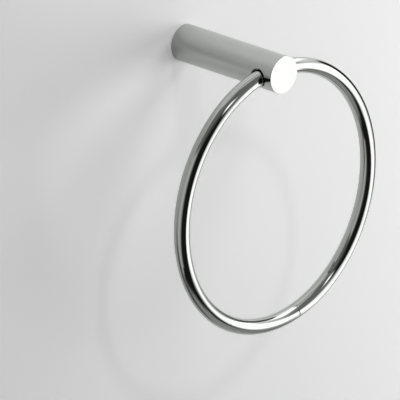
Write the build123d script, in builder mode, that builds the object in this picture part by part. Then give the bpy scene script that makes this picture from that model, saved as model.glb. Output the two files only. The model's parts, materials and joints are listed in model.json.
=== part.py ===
from build123d import *
import os
from math import asin, atan, cos, degrees, hypot, radians, sin, sqrt, tan

# Towel ring: a round post that stands out from the wall, with a loose ring hung through a bore across it.
# Sizes in millimetres. Origin at the middle of the post's wall face, +Z up, the post runs forward along -Y.

# Post, turned from round bar
post_diameter = 24.0
post_length = 85.0
front_chamfer = 0.15
back_chamfer = 0.3

# Ring, bent from round tube and measured to the middle of the tube
ring_radius = 84.0
tube_diameter = 10.0
tube_wall = 1.0

# Bore across the post, which the ring hangs and swings in
ring_clearance = 0.32
bore_drop = 1.0
front_land = 5.25
mouth_rounding = 0.3

# Butt seam where the ring was closed, at an angle from the ring's lowest point towards +X
# Bending left both ends straight for a short length, so the square ends nearly meet inside and gape outside
seam_angle = 8.0
seam_straight = 2.0
seam_gap = 0.05
seam_chamfer = 0.2

# Straight dowel inside the tube that holds the two ends of the seam together
dowel_length = 16.0
dowel_clearance = 0.1
dowel_chamfer = 0.5

# Boss that is screwed to the wall and carries the post
boss_diameter = 16.0
boss_length = 14.0
boss_chamfer = 0.6
socket_clearance = 0.1
socket_headroom = 6.0
drill_point_angle = 118.0

# Hole in the boss for a countersunk wall screw
screw_hole_diameter = 5.2
screw_head_diameter = 10.4
screw_head_angle = 90.0

# Grub screw under the post, whose cone point sits in a groove round the boss
thread_diameter = 4.0
thread_clearance = 0.1
grub_setback = 7.0
grub_sink = 0.9
grub_chamfer = 0.25
point_diameter = 1.0
seat_clearance = 0.1
groove_depth = 1.0
groove_floor_width = 1.2
hex_width = 2.0
hex_depth = 1.6

# Places worked out from the sizes above
post_radius = post_diameter / 2
tube_radius = tube_diameter / 2
boss_radius = boss_diameter / 2
socket_radius = boss_radius + socket_clearance
socket_depth = boss_length + socket_headroom
drill_point = socket_radius / tan(radians(drill_point_angle / 2))

# The tube bows inside the straight bore, so the bore is wider than the tube and the bow is shared evenly
ring_bow = ring_radius - sqrt(ring_radius**2 - post_radius**2)
bore_radius = tube_radius + ring_bow / 2 + ring_clearance
bore_y = -(post_length - front_land - bore_radius)
bore_z = -bore_drop
ring_centre = Vector(0, bore_y, bore_z + ring_bow / 2 - ring_radius)
ring_axis = Axis(ring_centre, (0, 1, 0))

# Angle from the seam to where each straight end begins, and the middle of the tube at the seam
tube_inside = ring_radius - tube_radius
straight_turn = atan(seam_straight / tube_inside)
gap_turn = asin(seam_gap / 2 / hypot(tube_inside, seam_straight))
seam_turn = degrees(straight_turn + gap_turn)
seam_radius = ring_radius * cos(radians(seam_turn)) + seam_straight * sin(radians(seam_turn))

# The tube bows round the straight dowel too, and that bow is shared in the same way
dowel_bow = seam_radius - sqrt(ring_radius**2 - (dowel_length / 2) ** 2)
dowel_radius = tube_radius - tube_wall - dowel_bow / 2 - dowel_clearance

# The cone point stops just short of the groove's floor, and the flat end is sunk below the post's skin
groove_radius = boss_radius - groove_depth
grub_radius = thread_diameter / 2 - thread_clearance
point_radius = point_diameter / 2
point_reach = groove_radius + seat_clearance
cone_end = point_reach + grub_radius - point_radius
grub_end = post_radius - grub_sink
grub_axis = Axis((0, -grub_setback, 0), (0, 0, 1))


def section_plane(angle):
    """Plane across the tube, at an angle from the ring's lowest point towards +X."""
    outward = (sin(radians(angle)), 0, -cos(radians(angle)))
    along = (cos(radians(angle)), 0, sin(radians(angle)))
    return Plane(origin=ring_centre, x_dir=outward, z_dir=along)


# Post
with BuildPart() as post:
    with BuildSketch(Plane.XY):
        with BuildLine():
            Polyline(
                (0, -post_length),
                (post_radius - front_chamfer, -post_length),
                (post_radius, -post_length + front_chamfer),
                (post_radius, -back_chamfer),
                (post_radius - back_chamfer, 0),
                (socket_radius, 0),
                (socket_radius, -socket_depth),
                (0, -socket_depth - drill_point),
                close=True,
            )
        make_face()
    revolve(axis=Axis.Y)

    # Bore for the ring, with its two mouths rounded where they meet the round side
    with Locations(Plane(origin=(0, bore_y, bore_z), z_dir=(1, 0, 0))):
        Hole(bore_radius)
    mouths = post.edges(Select.LAST).filter_by(GeomType.LINE, reverse=True)
    fillet(mouths, mouth_rounding)

    # Threaded hole from underneath, into the socket
    with Locations(Plane(origin=(0, -grub_setback, -post_radius), z_dir=(0, 0, -1))):
        Hole(thread_diameter / 2, depth=post_radius)
post.part.label = "post"

# Ring
with BuildPart() as ring:
    with BuildSketch(section_plane(seam_angle - seam_turn)):
        with Locations((ring_radius, 0)):
            Circle(tube_radius)
            Circle(tube_radius - tube_wall, mode=Mode.SUBTRACT)
    revolve(axis=ring_axis, revolution_arc=360 - 2 * seam_turn)
    extrude(ring.faces().filter_by(GeomType.PLANE), amount=seam_straight)
    tube_ends = ring.faces().filter_by(GeomType.PLANE)
    chamfer([edge for end in tube_ends for edge in end.outer_wire().edges()], seam_chamfer)
ring.part.label = "ring"

# Dowel in the ring's seam
with BuildPart() as ring_dowel:
    with BuildSketch(section_plane(seam_angle)):
        with Locations((seam_radius - dowel_bow / 2, 0)):
            Circle(dowel_radius)
    extrude(amount=dowel_length / 2, both=True)
    chamfer(ring_dowel.edges().filter_by(GeomType.CIRCLE), dowel_chamfer)
ring_dowel.part.label = "ring_dowel"

# Wall boss
groove_half_floor = groove_floor_width / 2
groove_half_top = groove_half_floor + groove_depth
with BuildPart() as wall_boss:
    with BuildSketch(Plane.XY):
        with BuildLine():
            Polyline(
                (0, 0),
                (boss_radius, 0),
                (boss_radius, -grub_setback + groove_half_top),
                (groove_radius, -grub_setback + groove_half_floor),
                (groove_radius, -grub_setback - groove_half_floor),
                (boss_radius, -grub_setback - groove_half_top),
                (boss_radius, -boss_length + boss_chamfer),
                (boss_radius - boss_chamfer, -boss_length),
                (0, -boss_length),
                close=True,
            )
        make_face()
    revolve(axis=Axis.Y)
    with Locations(Plane(origin=(0, -boss_length, 0), z_dir=(0, -1, 0))):
        CounterSinkHole(
            radius=screw_hole_diameter / 2,
            counter_sink_radius=screw_head_diameter / 2,
            counter_sink_angle=screw_head_angle,
        )
wall_boss.part.label = "wall_boss"

# Grub screw
with BuildPart() as grub_screw:
    with BuildSketch(Plane.XZ.offset(grub_setback)):
        with BuildLine():
            Polyline(
                (0, -point_reach),
                (point_radius, -point_reach),
                (grub_radius, -cone_end),
                (grub_radius, -grub_end + grub_chamfer),
                (grub_radius - grub_chamfer, -grub_end),
                (0, -grub_end),
                close=True,
            )
        make_face()
    revolve(axis=grub_axis)
    with BuildSketch(Plane(origin=(0, -grub_setback, -grub_end), z_dir=(0, 0, 1))):
        RegularPolygon(hex_width / 2, side_count=6, major_radius=False)
    extrude(amount=hex_depth, mode=Mode.SUBTRACT)
grub_screw.part.label = "grub_screw"

os.makedirs("parts", exist_ok=True)
export_step(post.part, "parts/post.step")
export_step(ring.part, "parts/ring.step")
export_step(ring_dowel.part, "parts/ring_dowel.step")
export_step(wall_boss.part, "parts/wall_boss.step")
export_step(grub_screw.part, "parts/grub_screw.step")
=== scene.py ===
import json
from math import asin, atan, atan2, cos, hypot, pi, prod, radians, sin

import bmesh
import bpy
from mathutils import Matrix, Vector


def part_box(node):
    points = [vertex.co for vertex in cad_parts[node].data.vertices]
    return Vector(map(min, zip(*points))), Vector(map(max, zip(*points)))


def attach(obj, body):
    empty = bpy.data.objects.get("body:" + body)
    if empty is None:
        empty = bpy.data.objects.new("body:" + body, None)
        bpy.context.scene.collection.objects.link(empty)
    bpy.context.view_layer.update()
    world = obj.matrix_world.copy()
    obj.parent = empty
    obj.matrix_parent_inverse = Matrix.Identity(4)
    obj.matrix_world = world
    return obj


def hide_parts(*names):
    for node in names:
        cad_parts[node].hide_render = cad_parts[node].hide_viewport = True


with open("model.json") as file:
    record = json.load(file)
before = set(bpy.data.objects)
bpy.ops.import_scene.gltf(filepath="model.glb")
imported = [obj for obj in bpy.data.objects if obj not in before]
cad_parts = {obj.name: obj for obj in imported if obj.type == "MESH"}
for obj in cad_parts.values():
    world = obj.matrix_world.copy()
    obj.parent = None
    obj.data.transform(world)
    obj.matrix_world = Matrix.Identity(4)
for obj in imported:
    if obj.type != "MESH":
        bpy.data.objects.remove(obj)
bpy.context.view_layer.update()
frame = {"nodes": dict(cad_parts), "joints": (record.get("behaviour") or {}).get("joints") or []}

# Sizes and places read from the frame, in metres
MM = 0.001
ring_low, ring_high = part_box("ring")
dowel_low, dowel_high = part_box("ring_dowel")
grub_low, grub_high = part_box("grub_screw")
hinge = Vector(frame["joints"][0]["pos_m"])
post_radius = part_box("post")[1].x
bore_radius = min(
    hypot(vertex.co.y - hinge.y, vertex.co.z - hinge.z) for vertex in frame["nodes"]["post"].data.vertices
)
tube_radius = (ring_high.y - ring_low.y) / 2
ring_radius = (ring_high.x - ring_low.x) / 2 - tube_radius
ring_centre = Vector((0, hinge.y, ring_high.z - ring_radius - tube_radius))
dowel_middle = (dowel_low + dowel_high) / 2
seam_angle = atan2(dowel_middle.x - ring_centre.x, ring_centre.z - dowel_middle.z)
grub_middle = (grub_low + grub_high) / 2
grub_radius = grub_high.x

# Axes of the turned and drilled surfaces: a point and a direction
post_axis = (Vector((0, 0, 0)), Vector((0, 1, 0)))
bore_axis = (hinge, Vector((1, 0, 0)))
grub_axis = (grub_middle, Vector((0, 0, 1)))
dowel_axis = (dowel_middle, Vector((cos(seam_angle), 0, sin(seam_angle))))

# The ring's tube and its butt seam, whose short straight ends are cut square
TUBE_WALL = 1.0 * MM
SEAM_STRAIGHT = 2.0 * MM
SEAM_GAP = 0.05 * MM
SEAM_CHAMFER = 0.2 * MM

# Rounded mouths of the cross bore and the threaded hole under the post
MOUTH_WIDTH = 0.6 * MM
HOLE_RADIUS = 2.0 * MM

# Thread, cone point and hex socket of the grub screw
THREAD_PITCH = 0.7 * MM
THREAD_DEPTH = 0.4 * MM
POINT_RADIUS = 0.5 * MM
GRUB_CHAMFER = 0.25 * MM
HEX_HALF_WIDTH = 1.0 * MM
HEX_DEPTH = 1.6 * MM

# How much the thread's wave is steepened and lowered, which leaves its crests and roots flat
THREAD_STEEPENED = 1.3
THREAD_LOWERED = 0.15

# Facets round the ring, round its tube, round and along the grub screw, and round the hole in the wall
RING_STEPS = 360
TUBE_STEPS = 64
GRUB_STEPS = 48
GRUB_ROWS = 100
WALL_STEPS = 64

# How far a corner of the CAD mesh may lie from its surface, and how far apart two corners are merged
CLOSE = 0.005 * MM
MERGED = 0.0005 * MM

# The angle between two faces at which their edge turns sharp
SHARP_ANGLE = radians(30)

# The part of a noise's values over which a tint goes from dark to light
TINT_RANGE = (0.3, 0.7)

# Camera, in metres, radians and mm, set so that the outlines fall where they do in the photo
CAMERA_PLACE = (-2.34856, -2.36182, 1.38732)
CAMERA_TURN = (1.148358, 0.045100, -0.804324)
CAMERA_LENS = 522
CAMERA_SENSOR = 36

# Wall: its size, how it meets the post, the grey of its paint, its even glow to the camera, and its glow in
# the chrome, a painted light that is paler up and to the right
WALL_HALF = 0.5
WALL_TOP = 0.6
WALL_SETBACK = 0.1 * MM
WALL_OVERLAP = 1.0 * MM
WALL_LEVEL = 0.92
WALL_SHOWN = 0.27
WALL_MIRRORED_PAINTED_LIGHT = (0.15, 0.28)

# The glow in the chrome goes from its first level to its second as X and Z together rise by this much; this
# painted light makes the wall's reflection darker at the post's foot and paler up and to the right, where
# the lamps are
PAINTED_LIGHT_RISE = 0.05

# Floor, in the same terms, and the world beyond
FLOOR_HALF = 1.1
FLOOR_FRONT = -3.0
FLOOR_HEIGHT = -1.3
FLOOR_LEVEL = 0.7
FLOOR_SHOWN = 0.56
FLOOR_MIRRORED = (0.12, 0.12)
WORLD_SHOWN = 0.6

# Panels: the middle that they stand round, their facets in degrees, and the brightness of the cards
STUDIO_CENTRE = Vector((0, -0.05, -0.06))
PANEL_STEP = 1.0
WHITE = 2.5
PALE = 1.0
GREY = 0.2
BLACK = 0.012


class Nodes:
    """A short way to add shader nodes to a material or world and to link them."""

    def __init__(self, owner):
        owner.use_nodes = True
        self.tree = owner.node_tree
        self.tree.nodes.clear()

    def add(self, kind, inputs=None, **settings):
        """Adds a node. An input is given a number or colour, or an output socket to link."""
        node = self.tree.nodes.new(kind)
        for name, value in settings.items():
            setattr(node, name, value)
        for name, value in (inputs or {}).items():
            socket = node.inputs[name]
            if isinstance(value, bpy.types.NodeSocket):
                self.tree.links.new(value, socket)
            else:
                socket.default_value = value
        return node

    def place(self):
        """Place in the object's own coordinates."""
        return self.add("ShaderNodeTexCoord").outputs["Object"]

    def mapping(self, place, **change):
        """A place that is shifted, turned or stretched."""
        return self.add("ShaderNodeMapping", {"Vector": place} | change).outputs["Vector"]

    def noise(self, place, scale, detail, roughness=0.5):
        """A noise over a place, from 0 to 1."""
        inputs = {"Vector": place, "Scale": scale, "Detail": detail, "Roughness": roughness}
        return self.add("ShaderNodeTexNoise", inputs).outputs["Fac"]

    def math(self, operation, *values):
        """The result of a sum, a product or the like."""
        return self.add("ShaderNodeMath", dict(enumerate(values)), operation=operation).outputs["Value"]

    def spread(self, value, low, high, full=1.0):
        """Maps 0..full to low..high."""
        inputs = {"Value": value, "From Max": full, "To Min": low, "To Max": high}
        return self.add("ShaderNodeMapRange", inputs).outputs["Result"]

    def tint(self, value, dark, light):
        """Colours from dark to light over the middle of a noise's values."""
        node = self.add("ShaderNodeValToRGB", {"Fac": value})
        for element, place, colour in zip(node.color_ramp.elements, TINT_RANGE, (dark, light)):
            element.position = place
            element.color = (*colour, 1)
        return node.outputs["Color"]

    def bump(self, height, strength, distance):
        """Normals of fine marks that are given as a height."""
        inputs = {"Height": height, "Strength": strength, "Distance": distance}
        return self.add("ShaderNodeBump", inputs).outputs["Normal"]

    def glow(self, strength):
        """An even white glow."""
        return self.add("ShaderNodeEmission", {"Color": grey(1), "Strength": strength}).outputs["Emission"]

    def clear(self):
        """A shader that lets everything through."""
        return self.add("ShaderNodeBsdfTransparent").outputs["BSDF"]

    def mix(self, share, one, two):
        """One shader that gives way to another as the share goes from 0 to 1."""
        return self.add("ShaderNodeMixShader", {0: share, 1: one, 2: two}).outputs["Shader"]

    def metal(self, colour, roughness, normal):
        """Ends a material with a metal shader."""
        inputs = {"Base Color": colour, "Metallic": 1.0, "Roughness": roughness, "Normal": normal}
        self.surface(self.add("ShaderNodeBsdfPrincipled", inputs).outputs["BSDF"])

    def surface(self, shader):
        """Ends a material with a shader."""
        self.add("ShaderNodeOutputMaterial", {"Surface": shader})


def grey(level):
    return (level, level, level, 1)


# Materials of the object


def chrome_material(name, stretch, seed):
    """Bright chrome plate: a mirror with a thin haze and faint polishing lines."""
    material = bpy.data.materials.new(name)
    nodes = Nodes(material)
    shifted = nodes.mapping(nodes.place(), Location=(seed, seed, seed))
    along = nodes.mapping(shifted, Scale=stretch)
    haze = nodes.noise(shifted, scale=60, detail=4, roughness=0.6)
    lines = nodes.noise(along, scale=900, detail=3, roughness=0.7)
    colour = nodes.tint(haze, dark=(0.525, 0.542, 0.522), light=(0.550, 0.566, 0.545))
    roughness = nodes.spread(haze, low=0.008, high=0.024)
    nodes.metal(colour, roughness, nodes.bump(lines, strength=0.02, distance=0.02 * MM))
    return material


def turned_brass_material(name):
    """Bare brass with fine lathe rings round the post's axis, a little dulled in patches."""
    material = bpy.data.materials.new(name)
    nodes = Nodes(material)
    place = nodes.place()
    flat = nodes.add("ShaderNodeVectorMath", {0: place, 1: (1, 0, 1)}, operation="MULTIPLY")
    out = nodes.add("ShaderNodeVectorMath", {0: flat.outputs["Vector"]}, operation="LENGTH")
    depth = nodes.add("ShaderNodeSeparateXYZ", {"Vector": place})
    feed = nodes.math("SUBTRACT", out.outputs["Value"], depth.outputs["Y"])
    rings = nodes.add("ShaderNodeTexNoise", {"W": feed, "Scale": 6000, "Detail": 2}, noise_dimensions="1D")
    patches = nodes.noise(place, scale=250, detail=5, roughness=0.6)
    colour = nodes.tint(patches, dark=(0.60, 0.42, 0.19), light=(0.76, 0.58, 0.30))
    roughness = nodes.spread(patches, low=0.42, high=0.22)
    nodes.metal(colour, roughness, nodes.bump(rings.outputs["Fac"], strength=0.35, distance=0.03 * MM))
    return material


def drawn_metal_material(name, dark, light, stretch, turn):
    """Bare drawn rod or wire, with fine lines along it."""
    material = bpy.data.materials.new(name)
    nodes = Nodes(material)
    place = nodes.place()
    turned = nodes.mapping(place, Rotation=(0, turn, 0))
    along = nodes.mapping(turned, Scale=stretch)
    lines = nodes.noise(along, scale=3000, detail=3, roughness=0.6)
    patches = nodes.noise(place, scale=400, detail=4)
    colour = nodes.tint(patches, dark, light)
    roughness = nodes.spread(lines, low=0.25, high=0.45)
    nodes.metal(colour, roughness, nodes.bump(lines, strength=0.3, distance=0.02 * MM))
    return material


# Pieces of the object


def new_object(name, mesh, material):
    thing = bpy.data.objects.new(name, mesh)
    mesh.materials.clear()
    mesh.materials.append(material)
    bpy.context.scene.collection.objects.link(thing)
    return thing


def stand_for(node, name, mesh, material, body):
    """Shows a mesh in place of a CAD node, moving with the same body."""
    piece = new_object(name, mesh, material)
    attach(piece, body)
    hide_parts(node)


def away_from(axis, point):
    """Vector from the nearest point of an axis to a point."""
    reach = point - axis[0]
    return reach - axis[1] * reach.dot(axis[1])


def turned_normal(axis, face, point):
    """Normal of a turned surface at a point. It leans along the axis as the flat facet there does."""
    lean = face.normal.dot(axis[1])
    outward = face.normal.dot(away_from(axis, face.center).normalized())
    return (away_from(axis, point).normalized() * outward + axis[1] * lean).normalized()


def built(build, name):
    """Turns a build into a mesh."""
    mesh = bpy.data.meshes.new(name)
    build.to_mesh(mesh)
    build.free()
    return mesh


def exact_copy(node, name, axis_of):
    """A copy of a CAD node's mesh, shaded by its round surfaces instead of its flat facets.

    axis_of gives the axis that a face was turned or drilled about, or None for a face of a rounded edge.
    """
    build = bmesh.new()
    build.from_mesh(frame["nodes"][node].data)
    bmesh.ops.remove_doubles(build, verts=build.verts, dist=MERGED)
    for face in build.faces:
        face.smooth = True
    mesh = built(build, name)

    points = [vertex.co.copy() for vertex in mesh.vertices]
    axes = [axis_of([points[corner] for corner in face.vertices]) for face in mesh.polygons]

    # A rounded edge takes the turned surfaces' normals along its rims, and mean normals in between
    flush, mean = {}, {}
    for face, axis in zip(mesh.polygons, axes):
        for corner in face.vertices:
            if axis:
                flush[corner] = turned_normal(axis, face, points[corner])
            else:
                mean[corner] = mean.get(corner, Vector()) + face.normal * face.area
    normals = []
    for face, axis in zip(mesh.polygons, axes):
        for corner in face.vertices:
            if axis:
                normals.append(turned_normal(axis, face, points[corner]))
            else:
                normals.append(flush[corner] if corner in flush else mean[corner].normalized())
    mesh.normals_split_custom_set(normals)
    return mesh


def post_axis_of(corners):
    """The axis that a face of the post goes round, or None on the rounded mouths of its cross bore."""
    from_bore = max(away_from(bore_axis, corner).length for corner in corners)
    if from_bore < bore_radius + CLOSE:
        return bore_axis
    if from_bore < bore_radius + MOUTH_WIDTH:
        return None
    from_hole = max(away_from(grub_axis, corner).length for corner in corners)
    if from_hole < HOLE_RADIUS + CLOSE and corners[0].z < 0:
        return grub_axis
    return post_axis


def full_turn(steps):
    """Angles of a full turn in even steps."""
    return [2 * pi * step / steps for step in range(steps)]


def add_loop(build, middle, points):
    return [build.verts.new(middle + point) for point in points]


def bridge(build, one, two):
    """Faces between two closed loops of as many points."""
    for step in range(len(one)):
        after = (step + 1) % len(one)
        build.faces.new((one[step], one[after], two[after], two[step]))


def finished(build, name):
    """Turns a closed shape into a smooth mesh with sharp edges."""
    bmesh.ops.recalc_face_normals(build, faces=build.faces)
    for face in build.faces:
        face.smooth = True
    mesh = built(build, name)
    mesh.set_sharp_from_angle(angle=SHARP_ANGLE)
    return mesh


def ring_mesh(name):
    """The bent tube, swept round the ring with its straight ends and the open seam."""
    inside = ring_radius - tube_radius
    half_seam = atan(SEAM_STRAIGHT / inside) + asin(SEAM_GAP / 2 / hypot(inside, SEAM_STRAIGHT))
    first, last = seam_angle + half_seam, seam_angle + 2 * pi - half_seam
    bore = tube_radius - TUBE_WALL
    bevelled = tube_radius - SEAM_CHAMFER

    # Each station has an angle from the lowest point, a reach straight on from there and an outer radius
    stations = [(first, -SEAM_STRAIGHT, bevelled), (first, SEAM_CHAMFER - SEAM_STRAIGHT, tube_radius)]
    for step in range(RING_STEPS + 1):
        stations.append((first + (last - first) * step / RING_STEPS, 0, tube_radius))
    stations += [(last, SEAM_STRAIGHT - SEAM_CHAMFER, tube_radius), (last, SEAM_STRAIGHT, bevelled)]

    build = bmesh.new()
    skins = ([], [])
    for angle, reach, outer in stations:
        outward = Vector((sin(angle), 0, -cos(angle)))
        middle = ring_centre + outward * ring_radius + Vector((cos(angle), 0, sin(angle))) * reach
        circle = [outward * cos(turn) + Vector((0, sin(turn), 0)) for turn in full_turn(TUBE_STEPS)]
        for loops, size in zip(skins, (outer, bore)):
            loops.append(add_loop(build, middle, [point * size for point in circle]))
    for loops in skins:
        for one, two in zip(loops, loops[1:]):
            bridge(build, one, two)
    for end in (0, -1):
        bridge(build, skins[0][end], skins[1][end])
    return finished(build, name)


def grub_mesh(name):
    """The grub screw with its thread, cone point and hex socket, within its plain CAD shape."""
    turns = full_turn(GRUB_STEPS)
    ways = [Vector((cos(turn), sin(turn), 0)) for turn in turns]
    axis_end = Vector((grub_middle.x, grub_middle.y, grub_low.z))
    length = grub_high.z - grub_low.z

    def thread_radius(height, turn):
        plain = min(grub_radius, POINT_RADIUS + length - height, grub_radius - GRUB_CHAMFER + height)
        wave = abs(2 * ((height / THREAD_PITCH - turn / (2 * pi)) % 1) - 1)
        groove = min(max(THREAD_STEEPENED * wave - THREAD_LOWERED, 0), 1)
        return min(plain, grub_radius - THREAD_DEPTH * groove)

    build = bmesh.new()
    loops = []
    for step in range(GRUB_ROWS + 1):
        height = length * step / GRUB_ROWS
        rim = [way * thread_radius(height, turn) for way, turn in zip(ways, turns)]
        loops.append(add_loop(build, axis_end + Vector((0, 0, height)), rim))
    for one, two in zip(loops, loops[1:]):
        bridge(build, one, two)
    build.faces.new(loops[-1])

    hexagon = [way * (HEX_HALF_WIDTH / cos(turn % (pi / 3) - pi / 6)) for way, turn in zip(ways, turns)]
    mouth = add_loop(build, axis_end, hexagon)
    base = add_loop(build, axis_end + Vector((0, 0, HEX_DEPTH)), hexagon)
    bridge(build, loops[0], mouth)
    bridge(build, mouth, base)
    build.faces.new(base)
    return finished(build, name)


# Studio: wall, floor, panels, world and camera


def seen_strength(nodes, shown, mirrored):
    """Strength of a backdrop's glow to the camera and in the chrome. Matt surfaces get no light from it."""
    path = nodes.add("ShaderNodeLightPath").outputs
    direct = nodes.math("MULTIPLY", path["Is Camera Ray"], shown)
    bounced = nodes.math("MAXIMUM", path["Is Glossy Ray"], path["Is Transmission Ray"])
    return nodes.math("MULTIPLY_ADD", bounced, mirrored, direct)


def one_sided(nodes, shader):
    """Shows a surface only to a camera in front of it."""
    direct = nodes.add("ShaderNodeLightPath").outputs["Is Camera Ray"]
    back = nodes.add("ShaderNodeNewGeometry").outputs["Backfacing"]
    return nodes.mix(nodes.math("MULTIPLY", direct, back), shader, nodes.clear())


def paint_material(name, level, shown, mirrored):
    """Matt pale paint with a faint roller texture, a little paler to the camera and in the chrome.

    mirrored gives the glow in the chrome at the post's foot, and up and to the right of it: where the two
    differ, a painted light that stands in for the lamps lighting the wall more up and to the right.
    """
    material = bpy.data.materials.new(name)
    nodes = Nodes(material)
    place = nodes.place()
    roller = nodes.bump(nodes.noise(place, scale=400, detail=2), strength=0.05, distance=0.2 * MM)
    paint = nodes.add("ShaderNodeBsdfDiffuse", {"Color": grey(level), "Normal": roller})
    # Painted light: the glow in the chrome rises from its first level to its second towards the upper right
    rise = nodes.add("ShaderNodeVectorMath", {0: place, 1: (1, 0, 1)}, operation="DOT_PRODUCT")
    painted_light_ramp = nodes.spread(rise.outputs["Value"], *mirrored, full=PAINTED_LIGHT_RISE)
    pale = nodes.glow(seen_strength(nodes, shown, painted_light_ramp))
    both = nodes.add("ShaderNodeAddShader", {0: paint.outputs["BSDF"], 1: pale})
    nodes.surface(one_sided(nodes, both.outputs["Shader"]))
    material.cycles.emission_sampling = "NONE"
    return material


def panel_material(name, glow):
    """A card, softbox or lamp of one brightness that fades out at its edges."""
    material = bpy.data.materials.new(name)
    nodes = Nodes(material)
    fade = nodes.add("ShaderNodeAttribute", attribute_name="fade").outputs["Fac"]
    nodes.surface(nodes.mix(fade, nodes.clear(), nodes.glow(glow)))
    return material


def smooth_step(value):
    """Goes smoothly from 0 to 1 as the value does."""
    value = min(max(value, 0.0), 1.0)
    return value * value * (3 - 2 * value)


def add_panel(name, azimuths, elevations, away, glow, soft, lean=0, lamp=False):
    """Part of a sphere round the studio's centre. Azimuth 0 is straight in front and + is towards +X.

    azimuths and elevations are in degrees, away is the sphere's radius and glow the panel's brightness.
    soft gives the width over which each edge fades, in degrees: left, right, low and high.
    lean moves the panel to the right for each degree up from its middle.
    A lamp lights matt surfaces, and any other panel is a card that only shows in the chrome.
    """
    left, right = azimuths
    low, high = elevations
    columns = round((right - left) / PANEL_STEP)
    rows = round((high - low) / PANEL_STEP)
    points, fades, faces = [], [], []
    for row in range(rows + 1):
        for column in range(columns + 1):
            azimuth = left + PANEL_STEP * column
            elevation = low + PANEL_STEP * row
            around = radians(azimuth + lean * (elevation - (low + high) / 2))
            up = radians(elevation)
            way = Vector((sin(around) * cos(up), -cos(around) * cos(up), sin(up)))
            points.append(STUDIO_CENTRE + way * away)
            edges = (azimuth - left, right - azimuth, elevation - low, high - elevation)
            fades.append(prod(smooth_step(edge / width) for edge, width in zip(edges, soft)))
    for row in range(rows):
        for column in range(columns):
            first = row * (columns + 1) + column
            faces.append((first, first + 1, first + columns + 2, first + columns + 1))
    mesh = bpy.data.meshes.new(name)
    mesh.from_pydata(points, [], faces)
    mesh.attributes.new("fade", "FLOAT", "POINT").data.foreach_set("value", fades)
    panel = new_object(name, mesh, panel_material(name, glow))
    panel.visible_camera = False
    panel.visible_shadow = False
    panel.visible_diffuse = lamp
    panel.visible_glossy = not lamp
    panel.active_material.cycles.emission_sampling = "AUTO" if lamp else "NONE"


def add_wall():
    """Pale wall behind the object, open at the post's foot so that the post's back shows from behind."""
    behind = Vector((0, WALL_SETBACK, 0))
    hole = post_radius - WALL_OVERLAP
    corners = [atan2(z, x) % (2 * pi) for x in (-WALL_HALF, WALL_HALF) for z in (FLOOR_HEIGHT, WALL_TOP)]
    ways = [Vector((cos(angle), 0, sin(angle))) for angle in sorted(corners + full_turn(WALL_STEPS))]
    edges = [1 / max(abs(way.x) / WALL_HALF, way.z / WALL_TOP, way.z / FLOOR_HEIGHT) for way in ways]
    build = bmesh.new()
    inner = add_loop(build, behind, [way * hole for way in ways])
    outer = add_loop(build, behind, [way * edge for way, edge in zip(ways, edges)])
    bridge(build, inner, outer)
    build.normal_update()
    for face in build.faces:
        if face.normal.y > 0:
            face.normal_flip()
    paint = paint_material("wall_paint", WALL_LEVEL, WALL_SHOWN, WALL_MIRRORED_PAINTED_LIGHT)
    new_object("wall", built(build, "wall"), paint)


def add_floor():
    """Pale floor in front of the wall."""
    corners = [(-FLOOR_HALF, FLOOR_FRONT), (FLOOR_HALF, FLOOR_FRONT), (FLOOR_HALF, 0), (-FLOOR_HALF, 0)]
    mesh = bpy.data.meshes.new("floor")
    mesh.from_pydata([(x, y, FLOOR_HEIGHT) for x, y in corners], [], [(0, 1, 2, 3)])
    paint = paint_material("floor_paint", FLOOR_LEVEL, FLOOR_SHOWN, FLOOR_MIRRORED)
    new_object("floor", mesh, paint)


def add_world():
    """A pale backdrop to the camera and in the chrome. The lamps alone light matt surfaces."""
    world = bpy.data.worlds.new("studio")
    nodes = Nodes(world)
    strength = seen_strength(nodes, WORLD_SHOWN, WORLD_SHOWN)
    sky = nodes.add("ShaderNodeBackground", {"Color": grey(1), "Strength": strength})
    nodes.add("ShaderNodeOutputWorld", {"Surface": sky.outputs["Background"]})
    bpy.context.scene.world = world


def add_camera():
    data = bpy.data.cameras.new("camera")
    data.lens = CAMERA_LENS
    data.sensor_width = CAMERA_SENSOR
    camera = bpy.data.objects.new("camera", data)
    camera.location = CAMERA_PLACE
    camera.rotation_euler = CAMERA_TURN
    bpy.context.scene.collection.objects.link(camera)
    bpy.context.scene.camera = camera


# The object
post_chrome = chrome_material("post_chrome_plate", stretch=(1, 0.02, 1), seed=0.0)
ring_chrome = chrome_material("ring_chrome_plate", stretch=(1, 1, 1), seed=3.0)
boss_brass = turned_brass_material("boss_turned_brass")
dowel_brass = drawn_metal_material(
    "dowel_drawn_brass",
    dark=(0.58, 0.41, 0.18),
    light=(0.74, 0.56, 0.28),
    stretch=(0.03, 1, 1),
    turn=seam_angle,
)
screw_steel = drawn_metal_material(
    "screw_plain_steel",
    dark=(0.42, 0.43, 0.44),
    light=(0.58, 0.59, 0.60),
    stretch=(1, 1, 0.1),
    turn=0,
)

post_mesh = exact_copy("post", "post_polished", post_axis_of)
tube_mesh = ring_mesh("ring_polished")
boss_mesh = exact_copy("wall_boss", "boss_turned", lambda corners: post_axis)
dowel_mesh = exact_copy("ring_dowel", "dowel_drawn", lambda corners: dowel_axis)
screw_mesh = grub_mesh("grub_threaded")
stand_for("post", "post_polished", post_mesh, post_chrome, "post_body")
stand_for("ring", "ring_polished", tube_mesh, ring_chrome, "ring_body")
stand_for("wall_boss", "boss_turned", boss_mesh, boss_brass, "post_body")
stand_for("ring_dowel", "dowel_drawn", dowel_mesh, dowel_brass, "ring_body")
stand_for("grub_screw", "grub_threaded", screw_mesh, screw_steel, "post_body")

# The room
add_wall()
add_floor()
add_world()
add_camera()

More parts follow.
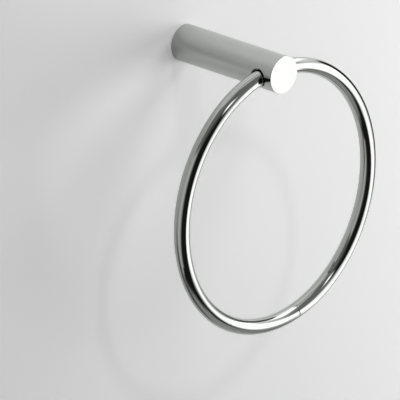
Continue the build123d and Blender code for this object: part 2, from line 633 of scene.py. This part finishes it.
# Lamps that light the wall and cast the object's shadows on it
add_panel("fill_lamp", (25, 50), (-35, 10), away=1.2, glow=2.5, soft=(5, 5, 10, 10), lamp=True)
add_panel("side_lamp", (60, 85), (-25, 10), away=1.2, glow=8, soft=(5, 5, 5, 5), lamp=True)
add_panel("high_lamp", (50, 75), (25, 60), away=1.2, glow=8, soft=(5, 5, 5, 5), lamp=True)
add_panel("top_lamp", (0, 35), (60, 70), away=1.2, glow=10, soft=(5, 5, 5, 5), lamp=True)
add_panel("far_lamp", (-4, 0), (42, 46), away=3.0, glow=90, soft=(1, 1, 1, 1), lamp=True)

# Softboxes that show in the chrome, in front and to the right
add_panel("fill_panel", (0, 65), (-40, 5), away=0.85, glow=WHITE, soft=(20, 10, 15, 45))
add_panel("fill_right", (30, 75), (-25, 20), away=0.8, glow=WHITE, soft=(15, 5, 20, 20), lean=0.5)
add_panel("fill_low", (50, 70), (-45, -30), away=0.8, glow=WHITE, soft=(5, 5, 1, 1), lean=-0.5)
add_panel("right_high", (50, 95), (25, 55), away=0.9, glow=WHITE, soft=(15, 1, 10, 1))
add_panel("right_middle", (60, 95), (15, 35), away=1.0, glow=PALE, soft=(5, 10, 5, 1))
add_panel("right_near", (85, 105), (25, 50), away=0.3, glow=WHITE, soft=(1, 1, 15, 5))
add_panel("strip_panel", (-5, 15), (25, 50), away=1.0, glow=WHITE, soft=(10, 10, 10, 15), lean=-0.5)

# Dark flags and grey cards that show in the chrome; the one close to the wall is painted shade
add_panel("dark_flag", (-80, 15), (-65, 65), away=1.2, glow=BLACK, soft=(35, 1, 15, 35), lean=0.2)
add_panel("low_flag", (-100, 30), (-60, -40), away=1.1, glow=BLACK, soft=(20, 1, 15, 1), lean=1.5)
add_panel("edge_flag", (75, 100), (-35, 25), away=0.25, glow=BLACK, soft=(1, 1, 10, 5))
# A dark card just in front of the wall, below and left of the ring: painted shade for the wall's less lit
# lower left as seen in the chrome
add_panel("wall_shade_flag", (-125, -75), (-85, 5), away=0.2, glow=BLACK, soft=(35, 25, 20, 1), lean=-0.5)
add_panel("ceiling_card", (-120, 45), (35, 80), away=1.4, glow=GREY, soft=(10, 15, 10, 5), lean=-0.5)
add_panel("grey_card", (10, 55), (-5, 60), away=1.1, glow=GREY, soft=(5, 20, 20, 1))

bpy.context.scene.view_settings.view_transform = "Standard"
